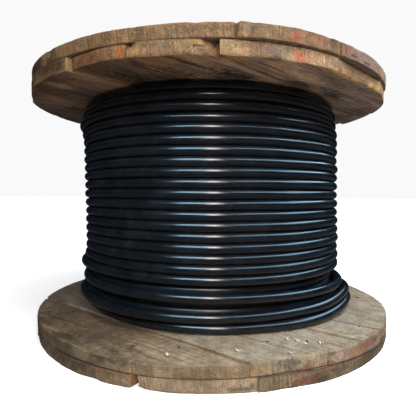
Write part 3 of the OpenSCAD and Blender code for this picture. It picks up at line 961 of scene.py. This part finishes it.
def dress_board(mesh, strip, ply, across, tone, seed):
    """Stores where each point of a board lies in its grain, and what kind of surface it is."""
    turn = Matrix.Rotation(-math.radians(across), 3, "Z")
    away = random.Random(seed)
    # Where the heart of the tree lay, seen from this board
    heart = Vector((
        away.uniform(0, 9),
        away.uniform(-0.09, 0.09),
        away.choice((-1, 1)) * away.uniform(0.03, 0.09),
    ))
    grain, rim, edge, bare = [], [], [], []
    middle = (strip["low"] + strip["high"]) / 2
    for v in mesh.vertices:
        local = turn @ v.co
        normal = turn @ v.normal
        radial = local.xy.normalized() if local.xy.length > 0.1 else Vector((0, 0))
        grain += [local.y + heart.x, local.x - middle + heart.y, local.z - strip["floor"] + heart.z]
        outward = normal.x * radial.x + normal.y * radial.y
        angle = math.degrees(math.atan2(v.co.y, v.co.x))
        from_rim = strip["reach"] + stand_out(ply, angle) - local.xy.length
        near_rim = 1 - smooth(0.012, 0.035, from_rim)
        rim.append(smooth(0.25, 0.75, outward) * near_rim)
        gaps = sorted((
            max(from_rim, 0),
            min(local.x - strip["low"], strip["high"] - local.x),
            min(local.z - strip["floor"], strip["top"] - local.z),
        ))
        edge.append(1 - smooth(0.5 * MM, 5 * MM, gaps[1]))
        bare.append(smooth(0.6, 0.9, abs(normal.x)) * (1 - rim[-1]))
    fill_attribute(mesh, "grain", "FLOAT_VECTOR", "vector", grain)
    fill_attribute(mesh, "rim", "FLOAT", "value", rim)
    fill_attribute(mesh, "edge", "FLOAT", "value", edge)
    fill_attribute(mesh, "bare", "FLOAT", "value", bare)
    fill_attribute(mesh, "tone", "FLOAT_COLOR", "color", list(tone) * len(mesh.vertices))


# Brightness, warmth (under 1 is warmer) and grime of the boards of each ply
PLY_TONES = {
    "upper_outer": [(0.74, 0.89), (0.72, 0.93), (0.70, 0.95), (0.78, 0.93), (0.80, 0.92)],
    "upper_inner": [(0.98, 0.95), (0.76, 0.93), (0.78, 0.82), (0.80, 0.88), (0.80, 0.88), (0.7, 0.92),
                    (0.74, 0.93)],
    "lower_inner": [(0.98, 1.02), (1.08, 1.12), (1.04, 1.12), (1.05, 1.13), (1.05, 1.11), (1.0, 1.08)],
    "lower_outer": [(0.72, 1.03), (1.55, 1.05), (0.90, 1.02), (0.92, 1.05), (1.0, 1.04), (0.95, 1.02)],
}
PLY_GRIME = {"upper_outer": 0.25, "upper_inner": 0.95, "lower_inner": 0.10, "lower_outer": 0.5}


def make_boards():
    """Every board of both flanges, in place of its frame node."""
    for ply, (count, across) in PLIES.items():
        cutter = hole_cutter(ply)
        for k in range(count):
            node = f"{ply}_board_{k + 1}"
            strip = strip_of(node, across)
            seed = 17 * k + 101 * list(PLIES).index(ply)
            name = "weathered_" + node
            mesh = mesh_of(name, board_bmesh(node, strip, ply, across, seed))
            # Only boards near the axis meet the spindle hole or a recess
            reach = 0.2 if ply.endswith("outer") else 0.045
            if strip["low"] < reach and strip["high"] > -reach:
                mesh = cut_holes(mesh, cutter)
                mesh.name = name
            bright, warm = PLY_TONES[ply][k]
            dress_board(mesh, strip, ply, across, (bright, warm, PLY_GRIME[ply], 1), seed)
            made = piece_of_mesh(name, mesh, BOARD)
            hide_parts(node)
        bpy.data.objects.remove(cutter)


# ---------------------------------------------------------------------------------------------
# The wound cable
# ---------------------------------------------------------------------------------------------

CABLE_R = 12 * MM
WINDING_R = 367.2 * MM
PITCH = 24 * MM
FIRST_TURN = 592.7 * MM
EVEN_TURNS = 18
TURN_STEPS = 116
CABLE_SIDES = 32
# The turns climb over to the next one here, and the angles of the route start here
BACK = 45
LEAN_ANGLE = -45

# The three loose turns: angle on from the back, radius of the centre line, and height, in
# degrees and millimetres
LOOSE_ROUTE = [
    (0, 366, 170), (50, 367, 152), (90, 368, 147), (135, 367, 145), (180, 367, 144),
    (205, 368, 141), (225, 374, 136), (240, 382, 132), (255, 389, 131), (270, 390, 131),
    (300, 384, 130), (330, 376, 124), (360, 373, 116),
    (405, 376, 105), (450, 381, 103), (495, 371, 100), (540, 360, 98), (572, 367, 98),
    (590, 385, 99), (600, 394, 103), (611, 406, 110), (622, 409, 109), (640, 405, 99),
    (660, 398, 92), (690, 392, 90), (720, 391, 90),
    (765, 384, 78), (808, 366, 73), (834, 352, 72), (858, 346, 72), (876, 348, 72),
    (900, 354, 72), (919, 361, 72), (932, 373, 72), (948, 390, 74), (962, 404, 80),
    (972, 412, 86), (985, 415, 82), (1000, 415, 75), (1020, 414, 73), (1035, 413, 73),
    (1068, 411, 73), (1092, 412, 74),
]
# Even turns that stand out: turn, angle round the drum, half width in degrees, and how far in mm
TURN_BULGES = [
    (0, -45, 60, -5), (1, -45, 50, -3), (1, 138, 30, 12), (2, 132, 26, 7), (17, 140, 34, 16),
    (16, 150, 20, 5), (6, -40, 25, 2),
]


def even_turn(k, on):
    """Radius and height of the k-th even turn: flat, with a climb of one pitch at the back."""
    half_climb = 35
    share = smooth(360 - half_climb, 360 + half_climb, on) - 1 + smooth(-half_climb, half_climb, on)
    height = FIRST_TURN - PITCH * (k + share)
    way = math.radians(on + BACK)
    # The stack leans a little towards one side, more so lower down
    lean = min(4.4 + 24 * (0.36 - height), 8.0) * MM * math.cos(way - math.radians(LEAN_ANGLE))
    wave = noise.noise(Vector((1.2 * math.cos(way), 1.2 * math.sin(way), 0.83 * k)))
    bulge = 0.0
    for turn, angle, half_width, out in TURN_BULGES:
        off = arc_gap(math.degrees(way), angle) / half_width
        if turn == k:
            bulge += out * MM * math.exp(-off * off)
    return WINDING_R + lean + bulge + 2.2 * MM * wave, height + 0.8 * MM * wave


def along_curve(stations, at):
    """A smooth curve through the stations (at, value, value), read at one place."""
    last = len(stations) - 2
    k = 0
    while k < last and stations[k + 1][0] <= at:
        k += 1
    before, start, end, after = (stations[min(max(k + j, 0), last + 1)] for j in (-1, 0, 1, 2))
    width = end[0] - start[0]
    share = min(max((at - start[0]) / width, 0), 1)
    values = []
    for axis in (1, 2):
        leave = (end[axis] - before[axis]) / (end[0] - before[0]) * width
        arrive = (after[axis] - start[axis]) / (after[0] - start[0]) * width
        a = 2 * start[axis] - 2 * end[axis] + leave + arrive
        b = -3 * start[axis] + 3 * end[axis] - 2 * leave - arrive
        values.append(a * share ** 3 + b * share ** 2 + leave * share + start[axis])
    return values


def cable_route():
    """The centre line of the outer layer, from the turn under the upper flange to the loose end."""
    route = []
    # The closing turn lies against the upper flange and comes up out of the layer below
    for n in range(TURN_STEPS):
        on = 360 * n / TURN_STEPS
        radius, height = even_turn(0, max(on, 36))
        rise = smooth(0, 60, on)
        drop = smooth(320, 360, on)
        near_radius = radius - (22 * MM * (1 - rise) + 8 * MM * (1 - drop))
        near_height = min(height + 21.5 * MM, FLANGE_UNDERSIDE - CABLE_R - 0.3 * MM)
        middle = (even_turn(0, 0)[1] - near_height) * drop
        route.append(polar(on + BACK, near_radius, near_height + middle))
    for n in range(EVEN_TURNS * TURN_STEPS):
        k, on = divmod(360 * n / TURN_STEPS, 360)
        radius, height = even_turn(k, on)
        route.append(polar(on + BACK, radius, height))
    end = LOOSE_ROUTE[-1][0]
    steps = round(end / 360 * TURN_STEPS)
    for n in range(steps + 1):
        on = end * n / steps
        radius, height = along_curve(LOOSE_ROUTE, on)
        route.append(polar(on + BACK, radius * MM, height * MM))
    return route


def round_tube(name, points, radius, sides):
    """A round tube along points, with a sheath attribute: its run and its way round, in metres."""
    curve = bpy.data.curves.new(name, "CURVE")
    curve.dimensions = "3D"
    curve.twist_mode = "Z_UP"
    curve.bevel_depth = radius
    curve.bevel_resolution = sides // 2 - 2
    curve.use_fill_caps = True
    line = curve.splines.new("POLY")
    line.points.add(len(points) - 1)
    for target, place in zip(line.points, points):
        target.co = (*place, 1)
    mesh = mesh_from(add_object(name, curve))
    runs = [0.0]
    for before, after in zip(points, points[1:]):
        runs.append(runs[-1] + (after - before).length)
    sheath = []
    for k in range(len(mesh.vertices)):
        ring, side = divmod(k, sides)
        way = 2 * math.pi * side / sides
        run = runs[min(ring, len(runs) - 1)]
        sheath += [run, radius * math.cos(way), radius * math.sin(way)]
    fill_attribute(mesh, "sheath", "FLOAT_VECTOR", "vector", sheath)
    return mesh


def make_cable():
    """The outer layer with its capped loose end, and what lies below it."""
    route = cable_route()
    mesh = round_tube("cable_outer_layer", route, CABLE_R, CABLE_SIDES)
    outer = piece_of_mesh("cable_outer_layer", mesh, CABLE)
    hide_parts("cable_winding")
    # A shrunk cap closes the loose end
    way = (route[-1] - route[-2]).normalized()
    bm = bmesh.new()
    profile = [(0, 17), (6, 16.6), (10.5, 14.5), (12.8, 10), (13.4, 4), (13.4, -40), (13.0, -46),
               (11.5, -47)]
    points = [bm.verts.new((r * MM, 0, z * MM)) for r, z in profile]
    edges = [bm.edges.new(pair) for pair in zip(points, points[1:])]
    spin_closed(bm, points + edges, 28)
    aim = Vector((0, 0, 1)).rotation_difference(way).to_matrix().to_4x4()
    bmesh.ops.transform(bm, matrix=Matrix.Translation(route[-1]) @ aim, verts=bm.verts[:])
    piece("cable_end_cap", bm, CAP)
    make_under_layer()


def spin_closed(bm, geometry, steps):
    """Spins a profile a full turn about the Z axis, closed and facing outwards."""
    bmesh.ops.spin(bm, geom=geometry, cent=(0, 0, 0), axis=(0, 0, 1), angle=2 * math.pi,
                   steps=steps, use_merge=True)
    bmesh.ops.remove_doubles(bm, verts=bm.verts[:], dist=1e-6)
    face_outwards(bm)


# The turns that show below the outer layer: radius of the centre line and height, in millimetres
UNDER_TURNS = [(341, 108), (346, 133), (349, 158.5)]
# Where these turns bulge: angle round the drum, bulge of the lowest turn and of the others in mm
UNDER_BULGES = [(-57, 35, 8), (145, 12, 0)]


def make_under_layer():
    """The layer below, which shows as dark turns between the loose ones, and the wound core."""
    inside = 250.5
    profile = [(inside, 60.5), (330, 60.5), (330, 95)]
    for radius, height in UNDER_TURNS:
        for n in range(9):
            way = math.radians(-82 + 164 * n / 8)
            profile.append((radius + 12 * math.cos(way), height + 12 * math.sin(way)))
    profile += [(350, 172), (353, 180), (353, 626.5), (inside, 626.5)]
    bm = bmesh.new()
    points = [bm.verts.new((r * MM, 0, z * MM)) for r, z in profile]
    edges = [bm.edges.new((points[k], points[(k + 1) % len(points)])) for k in range(len(points))]
    spin_closed(bm, points + edges, 180)
    for v in bm.verts:
        outer = smooth(0.30, 0.33, v.co.xy.length)
        lowest = (1 - smooth(0.119, 0.122, v.co.z)) * smooth(0.070, 0.095, v.co.z)
        others = smooth(0.119, 0.122, v.co.z) * (1 - smooth(0.170, 0.180, v.co.z))
        way = math.degrees(math.atan2(v.co.y, v.co.x))
        bulge = 0.0
        for at, low_out, high_out in UNDER_BULGES:
            towards = max(math.cos(math.radians(arc_gap(way, at))), 0) ** 4
            bulge += towards * (lowest * low_out + others * high_out)
        v.co += polar(way, outer * bulge * MM, 0)
    made = piece("cable_under_layer", bm, CABLE_BELOW)
    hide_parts("cable_winding")


# ---------------------------------------------------------------------------------------------
# Nails and splinters
# ---------------------------------------------------------------------------------------------

def crossings(ply_a, ply_b):
    """The places where boards of two plies cross, inside the rim, with each crossing's size."""
    found = []
    for a in range(PLIES[ply_a][0]):
        first = strip_of(f"{ply_a}_board_{a + 1}", PLIES[ply_a][1])
        for b in range(PLIES[ply_b][0]):
            second = strip_of(f"{ply_b}_board_{b + 1}", PLIES[ply_b][1])
            along = math.radians(PLIES[ply_a][1])
            mid_a = (first["low"] + first["high"]) / 2
            mid_b = (second["low"] + second["high"]) / 2
            centre = Vector((
                mid_a * math.cos(along) - mid_b * math.sin(along),
                mid_a * math.sin(along) + mid_b * math.cos(along),
            ))
            found.append((centre, first["high"] - first["low"], second["high"] - second["low"], along))
    return found


# Nails keep clear of the spindle hole, of the rim and of the recesses on the rods' circle
SPINDLE_CLEAR = 0.06
RIM_CLEAR = 0.478
ROD_CIRCLE = 0.165
RECESS_CLEAR = 0.034
# Only tips outside the winding show
WINDING_CLEAR = 0.392


def nail_places(ply_a, ply_b, seed):
    """Two nails at each crossing, set in from its corners, clear of the rim and the rods."""
    chance = random.Random(seed)
    places = []
    for centre, wide, long_way, along in crossings(ply_a, ply_b):
        for side in (-1, 1):
            off = Vector((side * (wide / 2 - 0.028), side * (long_way / 2 - 0.03)))
            off += Vector((chance.uniform(-9, 9), chance.uniform(-9, 9))) * MM
            turned = Matrix.Rotation(along, 2) @ off
            at = centre + turned
            recess_clear = abs(at.length - ROD_CIRCLE) > RECESS_CLEAR
            if SPINDLE_CLEAR < at.length < RIM_CLEAR and recess_clear:
                places.append((at, chance.uniform(0, 360)))
    return places


def make_nails():
    """Nail heads in the outer faces, and bent-over tips on the inner faces."""
    for flange, outer_face, inner_face, up in (
        ("upper", DRUM_TOP, FLANGE_UNDERSIDE, 1), ("lower", 0.0, FLANGE_TOP, -1),
    ):
        places = nail_places(flange + "_outer", flange + "_inner", 5 if up > 0 else 9)
        heads = bmesh.new()
        tips = bmesh.new()
        for at, turn in places:
            head_at = Matrix.Translation((at.x, at.y, outer_face - up * 1.0 * MM))
            bmesh.ops.create_cone(heads, cap_ends=True, segments=12, radius1=4.2 * MM,
                                  radius2=4.2 * MM, depth=1.6 * MM, matrix=head_at)
            if at.length > WINDING_CLEAR and (up < 0 or turn < 110):
                turned = Matrix.Rotation(math.radians(turn), 4, "Z")
                turned = turned @ Matrix.Rotation(math.pi / 2, 4, "X")
                place = Matrix.Translation((at.x, at.y, inner_face - up * 0.6 * MM)) @ turned
                bmesh.ops.create_cone(tips, cap_ends=True, segments=8, radius1=1.6 * MM,
                                      radius2=0.7 * MM, depth=9 * MM, matrix=place)
        piece("nail_heads_" + flange, heads, NAIL)
        piece("nail_tips_" + flange, tips, NAIL)


# Where splinters stand on the lower flange: angle round the drum, distance from the axis and
# length in millimetres
SPLINTERS = [
    (-145, 471, 9), (-127.4, 446, 13), (-110.5, 416, 15), (-108.8, 432, 14), (-108.2, 452, 8),
    (-115.1, 478, 7), (-104, 463, 5), (60, 450, 12), (122, 440, 9), (10, 470, 8),
]


def make_splinters():
    """Small pale curls of torn wood that stand on the lower flange."""
    chance = random.Random(3)
    bm = bmesh.new()
    for angle, distance, length in SPLINTERS:
        heading = chance.uniform(0, 3)
        for share in (1.0, 0.6, 0.4):
            made = bmesh.ops.create_grid(bm, x_segments=7, y_segments=3, size=0.5)["verts"]
            long_way = length * share * chance.uniform(0.8, 1.1) * MM
            wide = chance.uniform(3.2, 5.0) * share * MM
            turn = Matrix.Rotation(heading + chance.uniform(-0.9, 0.9), 4, "Z")
            at = polar(angle, distance * MM, FLANGE_TOP + 0.5 * MM)
            at += Vector((chance.uniform(-5, 5), chance.uniform(-5, 5), 0)) * (1 - share) * 2 * MM
            for v in made:
                taper = 1 - 0.8 * abs(v.co.x * 2) ** 2.2
                curl = 4.5 * (v.co.x + 0.3) ** 2 + 3.0 * (v.co.y * taper) ** 2 + chance.uniform(0, 0.5)
                v.co = at + turn @ Vector((v.co.x * long_way, v.co.y * wide * taper, curl * MM))
    bmesh.ops.solidify(bm, geom=bm.faces[:], thickness=0.7 * MM)
    bmesh.ops.recalc_face_normals(bm, faces=bm.faces[:])
    piece("torn_splinters", bm, CHIP)


# ---------------------------------------------------------------------------------------------
# Pieces that keep their frame meshes
# ---------------------------------------------------------------------------------------------

def dress_frame_nodes():
    """Gives the staves, rods, nuts and washers their materials."""
    for name, node in NODES.items():
        material = STAVE if name.startswith("barrel_stave") else ROD
        if name.startswith(("barrel_stave", "tie_rod", "rod_")):
            for entry in node.material_slots:
                entry.material = material


# ---------------------------------------------------------------------------------------------
# Floor, light and camera
# ---------------------------------------------------------------------------------------------

def pale_floor():
    """A wide pale floor, darker in reflections so that it doesn't light up the glossy cable."""
    made, tree, shader, place = new_material("studio floor")
    path = tree.nodes.new("ShaderNodeLightPath").outputs
    plain = tint(tree, path["Is Glossy Ray"], (0.40, 0.385, 0.365, 1), (0.045, 0.050, 0.062, 1))
    tree.links.new(tint(tree, path["Is Camera Ray"], plain, (0.80, 0.80, 0.80, 1)),
                   shader.inputs["Base Color"])
    # Far from the drum it glows, so that it meets the pale world without a dark band
    apart = vector(tree, "LENGTH", place)
    glow = tint(tree, step(tree, apart, 1.4, 4.0), (0.62, 0.62, 0.62, 1), (0.93, 0.93, 0.93, 1))
    tree.links.new(tint(tree, path["Is Camera Ray"], (0, 0, 0, 1), glow), shader.inputs["Emission Color"])
    shader.inputs["Emission Strength"].default_value = 1.0
    shader.inputs["Roughness"].default_value = 0.9
    bm = bmesh.new()
    bmesh.ops.create_grid(bm, x_segments=1, y_segments=1, size=40)
    mesh = mesh_of("studio_floor", bm)
    floor = add_object("studio_floor", mesh)
    mesh.materials.append(made)


def pale_world():
    """A pale surround, dark in reflections."""
    world = bpy.data.worlds.new("studio")
    world.use_nodes = True
    tree = world.node_tree
    shader = tree.nodes["Background"]
    path = tree.nodes.new("ShaderNodeLightPath").outputs
    soft = tint(tree, path["Is Glossy Ray"], (0.17, 0.175, 0.185, 1), (0.006, 0.008, 0.012, 1))
    colour = tint(tree, path["Is Camera Ray"], soft, (0.95, 0.95, 0.95, 1))
    tree.links.new(colour, shader.inputs["Color"])
    bpy.context.scene.world = world


CAMERA_ANGLE = -135
CAMERA_AWAY = 1.1866
CAMERA_HEIGHT = 0.3766


def area_light(name, azimuth, elevation, away, size, power, colour, lit):
    """A soft rectangular light. Azimuth is counted from the camera's side, towards its right."""
    target = Vector((0, 0, 0.35))
    lift = math.radians(elevation)
    at = target + polar(CAMERA_ANGLE + azimuth, away * math.cos(lift), away * math.sin(lift))
    light = bpy.data.lights.new(name, "AREA")
    light.shape = "RECTANGLE"
    light.size, light.size_y = size
    light.energy = power
    light.color = colour
    lamp = add_object(name, light)
    lamp.location = at
    lamp.rotation_euler = (at - target).to_track_quat("Z", "Y").to_euler()
    lamp.visible_camera = False
    lamp.light_linking.receiver_collection = lit


def studio_lights():
    """Narrow lights that only the glossy cable sees, and soft ones for everything else."""
    glossy = bpy.data.collections.new("glossy cable")
    dull = bpy.data.collections.new("timber, steel and floor")
    for made in bpy.context.scene.objects:
        if made.type == "MESH":
            (glossy if made.name.startswith("cable_") else dull).objects.link(made)
    area_light("glint_strip", 1.2, 28, 2.6, (0.36, 1.4), 45, (1.0, 0.92, 0.87), glossy)
    area_light("glint_side", -18, 34, 2.6, (0.95, 0.9), 52, (0.42, 0.76, 0.95), glossy)
    area_light("glint_right", 44, 40, 2.8, (2.0, 0.75), 38, (0.50, 0.78, 1.0), glossy)
    area_light("glint_far", 98, 36, 2.8, (3.0, 0.9), 68, (0.50, 0.79, 1.0), glossy)
    area_light("front_soft", 10, 16, 3.0, (2.0, 1.6), 66, (1.0, 0.97, 0.91), dull)
    area_light("window_right", 98, 34, 2.8, (3.0, 0.8), 44, (0.80, 0.90, 1.0), dull)
    area_light("top_soft", 40, 58, 3.0, (1.8, 1.8), 115, (1.0, 0.97, 0.90), dull)


def drum_camera():
    """The camera, looking a little down at the drum."""
    camera = bpy.data.cameras.new("camera")
    camera.sensor_width = 36
    camera.lens = 32.32
    made = add_object("camera", camera)
    heading, pitch, roll = (math.radians(a) for a in (-44.75, 90 - 2.12, 0.36))
    turned = Matrix.Rotation(heading, 4, "Z") @ Matrix.Rotation(pitch, 4, "X")
    turned = turned @ Matrix.Rotation(roll, 4, "Z")
    made.matrix_world = Matrix.Translation(polar(CAMERA_ANGLE, CAMERA_AWAY, CAMERA_HEIGHT)) @ turned
    bpy.context.scene.camera = made


make_boards()
make_cable()
make_nails()
make_splinters()
dress_frame_nodes()
pale_floor()
pale_world()
studio_lights()
drum_camera()
bpy.context.scene.view_settings.view_transform = "Standard"
